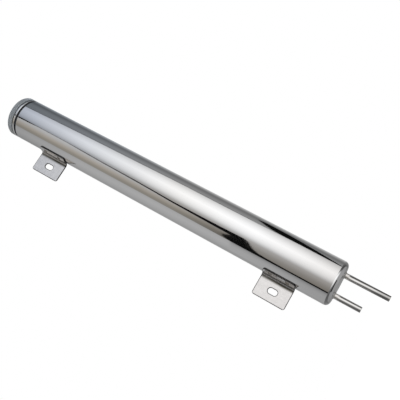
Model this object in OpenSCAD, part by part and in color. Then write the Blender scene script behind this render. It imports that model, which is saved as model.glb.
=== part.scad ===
/* [Tank] */
// Outside diameter of the tank tube
tube_d = 50.8; // [47:0.1:76]
// Wall of the tank tube, the weld and the end cup's side
tube_wall = 1.2; // [0.8:0.1:2]
// Length of the tank from its closed end to its open rim
tank_len = 429; // [400:0.5:600]
// Height of the drawn end cup
cup_h = 9.5; // [9:0.1:20]
// Outside radius of the rounded corner of the end cup
corner_r = 5.5; // [3:0.1:8]
// Thickness of the end cup's floor
floor_t = 1.2; // [0.8:0.1:2]
// Width of the butt weld between the end cup and the tube
seam_w = 1.2; // [0.8:0.1:2.4]
// How far the root of that weld stands proud inside
seam_root = 0.5; // [0.2:0.1:1]

/* [Pipes] */
// Outside diameter of both pipes
pipe_d = 6.35; // [5:0.05:8]
// Wall of both pipes
pipe_wall = 0.9; // [0.6:0.1:1.4]
// Distance between the two pipes' axes
pipe_spacing = 24; // [16:0.5:26]
// Length of the return pipe below the tank
return_out = 30.3; // [15:0.1:60]
// Height of the return pipe above the inside of the floor
return_in = 8; // [2:0.5:30]
// Length of the vent standpipe below the tank
vent_out = 50.2; // [15:0.1:80]
// Space between the top of the standpipe and the filler neck
vent_gap = 12; // [5:0.5:40]
// Leg of the weld fillet round each pipe
pipe_weld_leg = 1.1; // [0.6:0.1:1.6]
// How far that weld has melted into the pipe's wall
weld_bite = 0.2; // [0.1:0.05:0.4]

/* [Filler neck] */
// Depth of the filler neck inside the tube
neck_len = 15; // [11:0.5:25]
// Wall of the filler neck
neck_wall = 3.6; // [2.5:0.1:6]
// Lead-in chamfer at the mouth and the foot of the neck's bore
neck_chamfer = 0.8; // [0.3:0.1:1.2]
// Leg of the weld between the neck and the tube's rim
neck_weld_leg = 1; // [0.5:0.1:1.5]

/* [Cap] */
// Thickness of the gasket under the cap
gasket_t = 3.1; // [1.5:0.1:4]
// How far the gasket's edge lies inside the tube's outline
gasket_inset = 0.6; // [0.2:0.1:1.5]
// Height of the smooth bright flange at the foot of the cap
flange_h = 2.2; // [0.8:0.1:3]
// Chamfer on both edges of the flange
flange_chamfer = 0.35; // [0.1:0.05:0.6]
// Height of the groove between the flange and the grip band
groove_h = 1.2; // [0.5:0.1:2]
// Depth of that groove
groove_depth = 0.9; // [0.4:0.1:1.5]
// Height of the knurled grip band
knurl_h = 6.3; // [3:0.1:15]
// Number of ridges round the grip band
knurl_count = 120; // [60:4:160]
// Depth of the grooves between the ridges
knurl_depth = 0.4; // [0.2:0.05:0.6]
// Width of the ledge at the grooves' top ends, inside the rounded edge
ledge_w = 0.15; // [0.1:0.05:0.5]
// Radius of the cap's rounded top edge
edge_r = 1.5; // [1:0.1:4]
// Width of the flat rim round the dished top
top_rim_w = 5; // [3:0.5:8]
// Depth of the dish in the cap's top
dish_depth = 0.6; // [0.3:0.1:1]
// Thickness of the cap's top under the dish
top_wall = 2.6; // [2:0.1:4]
// How far the cap's threaded spigot goes into the neck
spigot_reach = 9; // [6:0.5:9.5]
// Wall of the spigot
spigot_wall = 2.4; // [1.5:0.1:4]
// Chamfer at the foot of the spigot
spigot_chamfer = 0.8; // [0.3:0.1:1.2]

/* [Brackets] */
// Thickness of the bracket sheet
sheet_t = 1.5; // [1:0.1:2.5]
// Width of each bracket along the tank
bracket_w = 39; // [34:0.5:60]
// How far each plate stands out from the side of the tube
plate_out = 25.9; // [24:0.1:45]
// Distance of the slots' centres from the side of the tube
slot_out = 14.1; // [12:0.1:16]
// Height of the lower slot above the closed end
lower_slot_h = 56.8; // [40:0.1:90]
// Distance of the upper slot below the tank's open rim
upper_slot_drop = 59.7; // [40:0.1:90]
// Width of each slot
slot_w = 6.4; // [5:0.1:9]
// Length of each slot, end to end
slot_len = 11; // [10:0.5:18]
// How far the plates' front faces lie behind the tube's axis
plate_set_back = 2; // [0:0.5:8]
// Inside radius of the bend between leg and plate
bend_r = 3; // [1.5:0.1:5]
// Corner radius of the plates
plate_corner_r = 2.6; // [1:0.1:6]
// How far round the front of the tube the leg reaches, in degrees
leg_wrap = 27; // [24:1:60]
// Corner radius of the leg
leg_corner_r = 3.4; // [1:0.1:4]
// Distance between the two weld spots on each leg
spot_spacing = 20.6; // [12:0.1:24]
// Diameter of each weld spot
spot_d = 3.6; // [2:0.1:4.5]
// How far each weld spot is sunk below the leg's face
spot_sink = 0.35; // [0.1:0.05:0.8]

/* [Hidden] */

$fn = 96;
overrun = 1;

// Clearances between pieces
pipe_fit = 0.05;
neck_fit = 0.05;
gasket_gap = 0.3;
spigot_gap = 0.3;

// Places: the origin is midway between the slots, on the back face of the plates
tube_r = tube_d / 2;
bore_r = tube_r - tube_wall;
axis_x = tube_r + slot_out;
axis_y = -(plate_set_back + sheet_t);
rim_z = tank_len;
upper_slot_h = rim_z - upper_slot_drop;
foot_z = -(lower_slot_h + upper_slot_h) / 2;

// Pipes and filler neck
pipe_r = pipe_d / 2;
return_x = -pipe_spacing / 2;
vent_x = pipe_spacing / 2;
neck_r = bore_r - neck_fit;
neck_bore_r = neck_r - neck_wall;
neck_foot = rim_z - neck_len;

// Cap
gasket_r = tube_r - gasket_inset;
cap_foot = rim_z + gasket_t;
spigot_r = neck_bore_r - spigot_gap;
spigot_foot = rim_z - spigot_reach;
knurl_root_r = tube_r - knurl_depth;
top_r = knurl_root_r - ledge_w;
flange_top = cap_foot + flange_h;
knurl_foot = flange_top + groove_h;
knurl_top = knurl_foot + knurl_h;
cap_top = knurl_top + edge_r;
dish_r = top_r - edge_r - top_rim_w;
dish_floor = cap_top - dish_depth;

// Brackets, seen from above about the tube's axis
leg_r = tube_r + sheet_t;
plate_edge_x = -(tube_r + plate_out);
bend_y = plate_set_back - bend_r;
bend_x = -sqrt(pow(leg_r + bend_r, 2) - pow(bend_y, 2));
bend_turn = atan2(-bend_y, -bend_x);
leg_front_y = -leg_r * sin(leg_wrap);
// The weld spots stand this many degrees past the middle of the leg, away from the bend
spot_lead = 2;
spot_turn = (bend_turn + leg_wrap) / 2 + spot_lead;

// Everything on the tank stands round its axis, from its closed end up
module on_tank() {
    translate([axis_x, axis_y, foot_z]) children();
}

// A ring about the axis, given its radii, foot and height
module ring(r_out, r_in, foot, h) {
    translate([0, 0, foot])
        linear_extrude(h)
            difference() {
                circle(r_out);
                circle(r_in);
            }
}

// A rectangle with four round corners, centred on its place
module round_rect(w, h, r) {
    square([w - 2 * r, h], center = true);
    square([w, h - 2 * r], center = true);
    for (x = [-1, 1], y = [-1, 1])
        translate([x * (w / 2 - r), y * (h / 2 - r)]) circle(r);
}

// A slot with round ends, its length along the second axis
module slot_shape(w, len) {
    square([w, len - w], center = true);
    for (y = [-1, 1])
        translate([0, y * (len - w) / 2]) circle(w / 2);
}

module tank_tube() {
    color("gainsboro")
        on_tank() ring(tube_r, bore_r, cup_h + seam_w, rim_z - cup_h - seam_w);
}

// The drawn cup's outline: floor, round corner and side
module cup_half(r, corner) {
    square([r - corner, cup_h]);
    translate([0, corner]) square([r, cup_h - corner]);
    translate([r - corner, corner]) circle(corner);
}

module cup_section() {
    intersection() {
        difference() {
            cup_half(tube_r, corner_r);
            translate([0, floor_t]) cup_half(bore_r, corner_r - tube_wall);
        }
        square([tube_r, cup_h]);
    }
}

module end_cup() {
    color("gainsboro")
        on_tank()
            difference() {
                rotate_extrude() cup_section();
                for (x = [return_x, vent_x])
                    translate([x, 0, -overrun])
                        cylinder(h = floor_t + 2 * overrun, r = pipe_r + pipe_fit);
            }
}

module end_seam_weld() {
    color("silver")
        on_tank()
            translate([0, 0, cup_h])
                rotate_extrude()
                    translate([bore_r - seam_root, 0]) square([tube_wall + seam_root, seam_w]);
}

// A pipe, given its place and its two ends, less the metal that its weld has melted
module pipe(x, foot, top) {
    on_tank()
        translate([x, 0, 0])
            difference() {
                ring(pipe_r, pipe_r - pipe_wall, foot, top - foot);
                ring(pipe_r + overrun, pipe_r - weld_bite, -pipe_weld_leg, pipe_weld_leg);
            }
}

module return_pipe() {
    color("silver") pipe(return_x, -return_out, floor_t + return_in);
}

module vent_standpipe() {
    color("silver") pipe(vent_x, -vent_out, neck_foot - vent_gap);
}

// A fillet round a pipe, below the floor of the cup
module pipe_weld(x) {
    on_tank()
        translate([x, 0, 0])
            rotate_extrude()
                polygon([
                    [pipe_r - weld_bite, 0],
                    [pipe_r - weld_bite, -pipe_weld_leg],
                    [pipe_r, -pipe_weld_leg],
                    [pipe_r + pipe_weld_leg, 0]
                ]);
}

module return_pipe_weld() {
    color("darkgray") pipe_weld(return_x);
}

module vent_pipe_weld() {
    color("darkgray") pipe_weld(vent_x);
}

module filler_neck() {
    color("silver")
        on_tank()
            rotate_extrude()
                polygon([
                    [neck_bore_r + neck_chamfer, neck_foot],
                    [neck_r, neck_foot],
                    [neck_r, rim_z - neck_weld_leg],
                    [neck_r - neck_weld_leg, rim_z],
                    [neck_bore_r + neck_chamfer, rim_z],
                    [neck_bore_r, rim_z - neck_chamfer],
                    [neck_bore_r, neck_foot + neck_chamfer]
                ]);
}

module neck_weld() {
    color("darkgray")
        on_tank()
            rotate_extrude()
                polygon([
                    [bore_r, rim_z],
                    [neck_r - neck_weld_leg, rim_z],
                    [neck_r, rim_z - neck_weld_leg],
                    [bore_r, rim_z - neck_weld_leg]
                ]);
}

// The sheet seen along the tank: leg round the tube, bend, then plate
module bracket_profile() {
    difference() {
        intersection() {
            circle(leg_r);
            leg_wedge(bend_turn, leg_wrap);
        }
        circle(tube_r);
    }
    difference() {
        intersection() {
            translate([bend_x, bend_y]) circle(bend_r + sheet_t);
            bend_wedge();
        }
        translate([bend_x, bend_y]) circle(bend_r);
    }
    translate([plate_edge_x, plate_set_back])
        square([bend_x - plate_edge_x, sheet_t]);
}

// Wedge about the tube's axis, turning from the plates' side towards the front
module leg_wedge(from_turn, to_turn) {
    reach = 2 * leg_r;
    polygon([
        [0, 0],
        [-reach * cos(from_turn), -reach * sin(from_turn)],
        [-reach * cos(to_turn), -reach * sin(to_turn)]
    ]);
}

// Wedge about the bend's centre, from the tube's axis round to the plate
module bend_wedge() {
    reach = 2 * (bend_r + sheet_t);
    translate([bend_x, bend_y])
        polygon([
            [0, 0],
            [reach * cos(bend_turn), reach * sin(bend_turn)],
            [reach, reach],
            [0, reach]
        ]);
}

// Front view of the sheet: round corners on the plate's outer edge only
module plate_outline() {
    reach = -plate_edge_x;
    translate([plate_edge_x + reach, 0]) round_rect(2 * reach, bracket_w, plate_corner_r);
}

// Side view of the sheet: round corners on the leg's front edge only
module leg_outline() {
    reach = plate_set_back + sheet_t - leg_front_y;
    translate([leg_front_y + reach, 0]) round_rect(2 * reach, bracket_w, leg_corner_r);
}

// The two spots lie on a radius of the tube through the middle of the leg
module at_spots(slot_h) {
    for (side = [-1, 1])
        translate([0, 0, slot_h + side * spot_spacing / 2])
            rotate([0, 0, spot_turn]) children();
}

module bracket(slot_h) {
    on_tank()
        difference() {
            translate([0, 0, slot_h])
                intersection() {
                    translate([0, 0, -bracket_w / 2]) linear_extrude(bracket_w) bracket_profile();
                    rotate([90, 0, 0])
                        linear_extrude(4 * leg_r, center = true) plate_outline();
                    rotate([90, 0, 90])
                        linear_extrude(4 * (tube_r + plate_out), center = true) leg_outline();
                }
            translate([-axis_x, 0, slot_h])
                rotate([-90, 0, 0])
                    translate([0, 0, plate_set_back - overrun])
                        linear_extrude(sheet_t + 2 * overrun) slot_shape(slot_w, slot_len);
            at_spots(slot_h)
                translate([-tube_r + overrun, 0, 0])
                    rotate([0, -90, 0]) cylinder(h = sheet_t + 2 * overrun, r = spot_d / 2);
        }
}

module upper_bracket() {
    color("lightgray") bracket(upper_slot_h);
}

module lower_bracket() {
    color("lightgray") bracket(lower_slot_h);
}

// Each spot fills its hole in the leg and ends on the tube
module bracket_welds(slot_h) {
    on_tank()
        difference() {
            at_spots(slot_h)
                translate([-tube_r + overrun, 0, 0])
                    rotate([0, -90, 0])
                        cylinder(h = sheet_t + overrun - spot_sink, r = spot_d / 2);
            translate([0, 0, slot_h - bracket_w / 2]) cylinder(h = bracket_w, r = tube_r);
        }
}

module upper_bracket_welds() {
    color("darkgray") bracket_welds(upper_slot_h);
}

module lower_bracket_welds() {
    color("darkgray") bracket_welds(lower_slot_h);
}

module cap_gasket() {
    edge = gasket_t / 2;
    color("dimgray")
        on_tank()
            translate([0, 0, rim_z])
                rotate_extrude() {
                    translate([spigot_r + gasket_gap, 0])
                        square([gasket_r - edge - spigot_r - gasket_gap, gasket_t]);
                    translate([gasket_r - edge, edge]) circle(edge);
                }
}

// Saw-tooth ring of the grip band
module knurl_shape() {
    polygon([
        for (i = [0 : 2 * knurl_count - 1])
            let (r = i % 2 == 0 ? tube_r : knurl_root_r, turn = 180 * i / knurl_count)
            [r * cos(turn), r * sin(turn)]
    ]);
}

// Half section of the cap without its grip band
module cap_section() {
    difference() {
        union() {
            translate([0, cap_foot]) square([top_r - edge_r, cap_top - cap_foot]);
            polygon([
                [0, cap_foot],
                [tube_r - flange_chamfer, cap_foot],
                [tube_r, cap_foot + flange_chamfer],
                [tube_r, flange_top - flange_chamfer],
                [tube_r - flange_chamfer, flange_top],
                [0, flange_top]
            ]);
            translate([0, flange_top]) square([tube_r - groove_depth, groove_h]);
            intersection() {
                translate([top_r - edge_r, knurl_top]) circle(edge_r);
                translate([0, knurl_top]) square([top_r, edge_r]);
            }
            polygon([
                [0, spigot_foot],
                [spigot_r - spigot_chamfer, spigot_foot],
                [spigot_r, spigot_foot + spigot_chamfer],
                [spigot_r, cap_foot],
                [0, cap_foot]
            ]);
        }
        translate([0, dish_floor]) square([dish_r, dish_depth + overrun]);
    }
}

module cap_body() {
    hollow_r = spigot_r - spigot_wall;
    color("slategray")
        on_tank()
            difference() {
                union() {
                    rotate_extrude() cap_section();
                    translate([0, 0, knurl_foot]) linear_extrude(knurl_h) knurl_shape();
                }
                translate([0, 0, spigot_foot - overrun])
                    cylinder(h = dish_floor - top_wall - spigot_foot + overrun, r = hollow_r);
            }
}

tank_tube();
end_cup();
end_seam_weld();
return_pipe();
vent_standpipe();
return_pipe_weld();
vent_pipe_weld();
filler_neck();
neck_weld();
upper_bracket();
lower_bracket();
upper_bracket_welds();
lower_bracket_welds();
cap_gasket();
cap_body();
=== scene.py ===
"""The coolant overflow tank as finished metal and rubber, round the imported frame.

Every length in this file is in metres and every place is in the frame of the part: the origin lies midway
between the two bracket slots on the plates' back faces, +Z runs along the tank to its cap, and the brackets'
plates stand out towards -X.
"""

import math
import bpy
from bpy.props import (
    FloatProperty,
    FloatVectorProperty,
    IntProperty,
    PointerProperty,
)
from bpy.types import Operator, Panel, PropertyGroup
from mathutils import Matrix, Vector
from mathutils.geometry import delaunay_2d_cdt


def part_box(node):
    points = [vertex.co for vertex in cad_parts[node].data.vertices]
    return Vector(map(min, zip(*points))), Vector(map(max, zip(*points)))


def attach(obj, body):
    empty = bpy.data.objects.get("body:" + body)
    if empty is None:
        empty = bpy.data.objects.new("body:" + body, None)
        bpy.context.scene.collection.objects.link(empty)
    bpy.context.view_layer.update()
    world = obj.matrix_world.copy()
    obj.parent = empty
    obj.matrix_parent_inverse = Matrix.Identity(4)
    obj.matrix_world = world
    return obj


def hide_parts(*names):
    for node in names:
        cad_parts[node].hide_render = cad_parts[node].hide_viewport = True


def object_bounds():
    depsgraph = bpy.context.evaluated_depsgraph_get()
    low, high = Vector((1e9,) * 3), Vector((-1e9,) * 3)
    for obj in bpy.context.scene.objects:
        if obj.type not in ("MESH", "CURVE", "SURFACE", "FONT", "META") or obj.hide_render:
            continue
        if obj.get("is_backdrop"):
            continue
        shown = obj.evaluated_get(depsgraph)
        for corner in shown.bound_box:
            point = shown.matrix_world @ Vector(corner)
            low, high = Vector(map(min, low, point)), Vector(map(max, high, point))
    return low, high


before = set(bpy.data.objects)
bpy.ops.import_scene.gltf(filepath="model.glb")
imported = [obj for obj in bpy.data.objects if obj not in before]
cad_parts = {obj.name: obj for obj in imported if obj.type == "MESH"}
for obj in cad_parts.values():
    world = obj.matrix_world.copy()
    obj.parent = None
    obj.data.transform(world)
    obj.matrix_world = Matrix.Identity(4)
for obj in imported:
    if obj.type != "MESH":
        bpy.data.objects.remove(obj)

bl_info = {
    "name": "Coolant Overflow Tank",
    "version": (1, 0, 0),
    "blender": (4, 5, 0),
    "location": "View3D > Sidebar > Tank",
    "description": "Finished pieces, materials and studio for a polished coolant overflow tank",
    "category": "Object",
}

MM = 0.001
FLAT_PLACE = "place_on_blank"
TINY = 1e-9
HOLE_SEGMENTS = 64
RING_SEGMENTS = 240
THREAD_STEPS = 10

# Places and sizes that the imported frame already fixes
TUBE_LOW, TUBE_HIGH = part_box("tank_tube")
CUP_LOW, CUP_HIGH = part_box("end_cup")
SEAM_LOW, SEAM_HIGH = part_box("end_seam_weld")
RETURN_LOW, RETURN_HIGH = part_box("return_pipe")
VENT_LOW, VENT_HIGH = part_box("vent_standpipe")
PIPE_WELD_LOW, PIPE_WELD_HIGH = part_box("return_pipe_weld")
NECK_LOW, NECK_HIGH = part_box("filler_neck")
NECK_WELD_LOW, NECK_WELD_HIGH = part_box("neck_weld")
GASKET_LOW, GASKET_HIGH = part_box("cap_gasket")
CAP_LOW, CAP_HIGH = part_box("cap_body")
PLATE_LOW, PLATE_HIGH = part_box("lower_bracket")
UPPER_PLATE_LOW, UPPER_PLATE_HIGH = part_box("upper_bracket")
SPOTS_LOW, SPOTS_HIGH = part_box("lower_bracket_welds")

AXIS_X = (TUBE_LOW.x + TUBE_HIGH.x) / 2
AXIS_Y = (TUBE_LOW.y + TUBE_HIGH.y) / 2
TUBE_R = (TUBE_HIGH.x - TUBE_LOW.x) / 2
FOOT_Z = CUP_LOW.z
PIPE_R = (RETURN_HIGH.x - RETURN_LOW.x) / 2
RETURN_X = (RETURN_LOW.x + RETURN_HIGH.x) / 2
VENT_X = (VENT_LOW.x + VENT_HIGH.x) / 2
NECK_R = (NECK_HIGH.x - NECK_LOW.x) / 2
GASKET_R = (GASKET_HIGH.x - GASKET_LOW.x) / 2
CAP_FOOT = GASKET_HIGH.z
SLOT_Z = (PLATE_LOW.z + PLATE_HIGH.z) / 2
UPPER_SLOT_Z = (UPPER_PLATE_LOW.z + UPPER_PLATE_HIGH.z) / 2


def length(name, text, default, low=0.0, high=1.0):
    return FloatProperty(
        name=name, description=text, default=default, min=low, max=high, unit="LENGTH", precision=5
    )


def colour(name, text, default):
    return FloatVectorProperty(
        name=name, description=text, default=default, min=0, max=1, size=3, subtype="COLOR"
    )


def share(name, text, default):
    return FloatProperty(name=name, description=text, default=default, min=0, max=1, subtype="FACTOR")


class ShellSizes(PropertyGroup):
    wall: length("Wall", "Wall of the tube and of the end cup", 1.2 * MM)
    corner: length("Corner", "Outside radius of the end cup's rounded corner", 5.5 * MM)
    rim_ease: length("Rim easing", "Radius that takes the burr off the tube's open rim", 0.3 * MM)
    hole_fit: length("Hole clearance", "Space round each pipe in the end cup's floor", 0.05 * MM)
    segments: IntProperty(name="Segments", description="Faces round the polished shell", default=360)


class PipeSizes(PropertyGroup):
    wall: length("Wall", "Wall of both pipes", 0.9 * MM)
    tip_ease: length("Tip easing", "Radius on the outer edge of the cut ends", 0.35 * MM)
    bore_ease: length("Bore easing", "Radius on the inner edge of the cut ends", 0.15 * MM)
    bead_leg: length("Bead leg", "Leg of the weld bead round each pipe", PIPE_WELD_HIGH.z - PIPE_WELD_LOW.z)
    bead_bite: length("Bead bite", "How far the bead has melted into the pipe", 0.2 * MM)
    bead_ripples: IntProperty(name="Bead ripples", description="Ripples round each weld bead", default=19)
    ripple: length("Ripple height", "Height of the ripples on a weld bead", 0.09 * MM)


class NeckSizes(PropertyGroup):
    wall: length("Wall", "Wall of the filler neck between its bore and the tube", 3.6 * MM)
    chamfer: length("Chamfer", "Lead-in at the mouth and the foot of the bore", 0.8 * MM)
    weld_leg: length("Weld leg", "Leg of the weld on the tube's rim", 1.0 * MM)
    pitch: length("Thread pitch", "Rise of the thread for each turn", 2.5 * MM)
    thread: length("Thread depth", "Depth of the thread cut into the neck", 0.9 * MM)


class CapSizes(PropertyGroup):
    flange: length("Flange", "Height of the smooth bright flange at the foot", 2.2 * MM)
    flange_edge: length("Flange edge", "Chamfer on both edges of the flange", 0.35 * MM)
    groove: length("Groove", "Height of the groove between flange and grip band", 1.2 * MM)
    groove_depth: length("Groove depth", "Depth of that groove", 0.9 * MM)
    band: length("Grip band", "Height of the knurled band", 6.3 * MM)
    ridges: IntProperty(name="Ridges", description="Ridges round the grip band", default=120)
    knurl: length("Knurl depth", "Depth of the grooves between the ridges", 0.4 * MM)
    ledge: length("Ledge", "Ledge at the grooves' top ends", 0.15 * MM)
    edge: length("Top edge", "Radius of the rounded top edge", 1.5 * MM)
    rim: length("Top rim", "Flat rim round the dished top", 5.0 * MM)
    dish: length("Dish", "Depth of the dish in the top", 0.6 * MM)
    top_wall: length("Top wall", "Thickness of the top under the dish", 2.6 * MM)
    spigot_gap: length("Spigot gap", "Space between the spigot and the neck's bore", 0.3 * MM)
    spigot_wall: length("Spigot wall", "Wall of the spigot", 2.4 * MM)
    spigot_chamfer: length("Spigot chamfer", "Chamfer at the spigot's foot", 0.8 * MM)
    thread: length("Thread depth", "Depth of the thread cut into the spigot", 0.8 * MM)


class BracketSizes(PropertyGroup):
    sheet: length("Sheet", "Thickness of the bracket sheet", 1.5 * MM)
    bend: length("Bend", "Inside radius of the bend between leg and plate", 3.0 * MM)
    plate_corner: length("Plate corner", "Corner radius of the plates", 2.6 * MM)
    leg_corner: length("Leg corner", "Corner radius of the leg", 3.4 * MM)
    leg_wrap: FloatProperty(
        name="Leg wrap",
        description="How far round the front of the tube the leg reaches",
        default=math.radians(24.6),
        subtype="ANGLE",
    )
    slot_width: length("Slot width", "Width of each slot", 6.4 * MM)
    slot_length: length("Slot length", "Length of each slot, end to end", 11.0 * MM)
    ease: length("Easing", "Radius on the sheared edges of the sheet", 0.5 * MM)
    spot: length("Weld spot", "Diameter of the two weld spots", 3.6 * MM)
    spot_sink: length("Spot sink", "How far each weld spot lies below the leg's face", 0.35 * MM)
    heat_reach: length("Heat reach", "How far the straw tint spreads round a weld spot", 1.6 * MM)
    # Reach of the painted shade in the crook of the bend, out onto the plate
    bend_shade_reach: length("Stain reach", "How far the film in the bend spreads onto the plate", 2.6 * MM)
    # Width of the line of painted shade beside the edges on the faces
    shade_line: length("Edge rub", "Width of the dark rub that the tumbled edges leave on the face", 1.0 * MM)
    spot_lead: FloatProperty(
        name="Spot lead",
        description="How far the weld spots lie past the middle of the leg",
        default=math.radians(3.2),
        subtype="ANGLE",
    )


class FinishColours(PropertyGroup):
    mirror: colour("Polished steel", "Mirror polished shell", (0.83, 0.83, 0.835))
    mirror_rough: share("Polish haze", "Roughness of the mirror polish", 0.045)
    pipe: colour("Pipe steel", "Drawn stainless tube", (0.8, 0.785, 0.765))
    pipe_rough: share("Pipe roughness", "Roughness of the drawn tube", 0.09)
    weld: colour("Weld metal", "Brushed weld metal", (0.4, 0.385, 0.37))
    bead: colour("Bead metal", "Bright weld bead round each pipe", (0.66, 0.65, 0.64))
    bead_rough: share("Bead roughness", "Roughness of the bright weld beads", 0.2)
    weld_rough: share("Weld roughness", "Roughness of the weld metal", 0.34)
    turned: colour("Turned steel", "Turned filler neck", (0.62, 0.62, 0.63))
    turned_rough: share("Turned roughness", "Roughness of the turned steel", 0.26)
    sheet: colour("Bracket sheet", "Brushed stainless sheet", (0.89, 0.873, 0.868))
    sheet_rough: share("Sheet roughness", "Roughness of the brushed sheet", 0.31)
    leg_rough: share("Leg roughness", "Roughness of the legs, which are polished with the tube", 0.14)
    # The cut edges are dull steel; this near-black colour is painted shade on them and in the lines beside
    # them
    cut_and_shaded: colour("Sheared edge", "Dull edge that the shears leave round the sheet", (0.045, 0.043, 0.042))
    # Colour of the painted shade in the crook of the bend, tinted olive brown
    bend_shade: colour("Bend stain", "Olive brown film left in the crook of the bend", (0.1, 0.095, 0.078))
    heat: colour("Heat tint", "Straw tint that the weld spots leave round them", (0.58, 0.52, 0.44))
    rubber: colour("Gasket rubber", "Matt black rubber", (0.012, 0.014, 0.018))
    rubber_rough: share("Rubber roughness", "Roughness of the rubber", 0.62)
    cap: colour("Cap aluminium", "Satin knurled aluminium", (0.5, 0.53, 0.55))
    cap_rough: share("Cap roughness", "Roughness of the satin aluminium", 0.46)
    flange: colour("Cap flange", "Flange turned bright at the foot of the cap", (0.9, 0.905, 0.91))
    flange_rough: share("Flange roughness", "Roughness of the bright flange", 0.1)


class StudioSettings(PropertyGroup):
    camera_place: FloatVectorProperty(
        name="Camera",
        description="Where the camera stands",
        default=(-0.0695, -0.6198, -0.24665),
        unit="LENGTH",
    )
    camera_aim: FloatVectorProperty(
        name="Aim",
        description="The point that the camera looks at",
        default=(0.0504, -0.0054, -0.03495),
        unit="LENGTH",
    )
    camera_roll: FloatProperty(
        name="Roll",
        description="Turn of the picture from the one in which the tank's foot points right",
        default=math.radians(27.73),
        subtype="ANGLE",
    )
    lens: FloatProperty(name="Lens", description="Focal length in millimetres", default=52.5)
    tent_radius: length("Tent radius", "Radius of the light tent round the tank", 1.2, high=5)
    floor_z: FloatProperty(name="Floor", description="Height of the floor", default=-0.32, unit="LENGTH")
    tent_glow: FloatProperty(name="Tent glow", description="Strength of the glowing cloths", default=1.25)
    fill_light: FloatProperty(name="Fill", description="Strength of the even light all round", default=0.45)
    floor_glow: FloatProperty(name="Floor glow", description="Glow that whitens the lit floor", default=0.7)
    lamp_power: FloatProperty(
        name="Lamps", description="Power of the soft key lamp", default=14.0, unit="POWER"
    )


# Outlines and revolved pieces


def full_turn(count):
    """The angles of a whole turn in equal steps."""
    return [2 * math.pi * k / count for k in range(count)]


def filled(points, loop_sizes, in_hole):
    """Fills flat loops and yields each face as indices of the points. The loops' points come first, loop by
    loop, and the others lie loose inside them."""
    edges = []
    start = 0
    for size in loop_sizes:
        edges += [(start + i, start + (i + 1) % size) for i in range(size)]
        start += size
    made = delaunay_2d_cdt([Vector(point) for point in points], edges, [], 1, TINY)
    out_verts, out_faces, origins = made[0], made[2], made[3]
    for face in out_faces:
        mid = sum((out_verts[i] for i in face), Vector((0, 0))) / len(face)
        if not in_hole(mid):
            yield [origins[i][0] for i in face]


class Outline:
    """A half section, walked with the metal on its left. It keeps points (radius, height) and the normals of
    each stretch."""

    def __init__(self, r, z):
        self.rings = [(r, z)]
        self.bands = []

    def line(self, r, z, steps=1):
        r0, z0 = self.rings[-1]
        run = math.hypot(r - r0, z - z0)
        normal = ((z - z0) / run, -(r - r0) / run)
        for i in range(1, steps + 1):
            t = i / steps
            self._add((r0 + (r - r0) * t, z0 + (z - z0) * t), normal, normal)
        return self

    def arc(self, centre, radius, start, end, steps):
        """An arc from one angle to another in degrees; the normals point away from the metal."""
        side = 1 if end > start else -1
        angles = [math.radians(start + (end - start) * i / steps) for i in range(steps + 1)]
        for a, b in zip(angles, angles[1:]):
            point = (centre[0] + radius * math.cos(b), centre[1] + radius * math.sin(b))
            self._add(
                point,
                (side * math.cos(a), side * math.sin(a)),
                (side * math.cos(b), side * math.sin(b)),
            )
        return self

    def _add(self, point, normal_from, normal_to):
        self.rings.append(point)
        self.bands.append((len(self.rings) - 2, len(self.rings) - 1, normal_from, normal_to))


class Surface:
    """Vertices, faces and corner normals collected for one mesh. A bent sheet also keeps, for each vertex,
    its place on the flat blank, and the sheet's finish is drawn there."""

    def __init__(self):
        self.verts = []
        self.faces = []
        self.normals = []
        self.flat = []

    def add_verts(self, points, flat=()):
        first = len(self.verts)
        self.verts.extend(tuple(p) for p in points)
        self.flat.extend(flat)
        return list(range(first, len(self.verts)))

    def add_face(self, corners, normals):
        self.faces.append(tuple(corners))
        self.normals.extend(tuple(n) for n in normals)

    def revolve(self, outline, segments):
        """Adds the outline turned round the Z axis. Returns the vertex rows, one for each ring."""
        circle = [(math.cos(a), math.sin(a)) for a in full_turn(segments)]
        closed = math.dist(outline.rings[0], outline.rings[-1]) < TINY
        rows = []
        for r, z in outline.rings[: len(outline.rings) - closed]:
            if r < TINY:
                rows.append(self.add_verts([(0, 0, z)]) * segments)
            else:
                rows.append(self.add_verts([(r * c, r * s, z) for c, s in circle]))
        if closed:
            rows.append(rows[0])
        for low, high, n0, n1 in outline.bands:
            self._band(rows[low], rows[high], n0, n1, circle)
        return rows

    def _band(self, low, high, n0, n1, circle):
        count = len(circle)
        for k in range(count):
            j = (k + 1) % count
            (ck, sk), (cj, sj) = circle[k], circle[j]
            corners = [
                (low[k], (n0[0] * ck, n0[0] * sk, n0[1])),
                (low[j], (n0[0] * cj, n0[0] * sj, n0[1])),
                (high[j], (n1[0] * cj, n1[0] * sj, n1[1])),
                (high[k], (n1[0] * ck, n1[0] * sk, n1[1])),
            ]
            seen = []
            kept = []
            for vert, normal in corners:
                if vert not in seen:
                    seen.append(vert)
                    kept.append(normal)
            if len(seen) > 2:
                self.add_face(seen, kept)

    def fill(self, loops, up, in_hole):
        """Fills a flat outline with holes; up is 1 or -1, the way that the face looks."""
        index = [i for loop in loops for i in loop]
        points = [self.verts[i][:2] for i in index]
        for face in filled(points, [len(loop) for loop in loops], in_hole):
            if up < 0:
                face.reverse()
            self.add_face([index[i] for i in face], [(0, 0, up)] * len(face))

    def drop_unused(self):
        """Leaves out the vertices that no face uses."""
        used = sorted({i for face in self.faces for i in face})
        index = {old: new for new, old in enumerate(used)}
        self.verts = [self.verts[i] for i in used]
        self.flat = [self.flat[i] for i in used] if self.flat else []
        self.faces = [tuple(index[i] for i in face) for face in self.faces]


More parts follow.
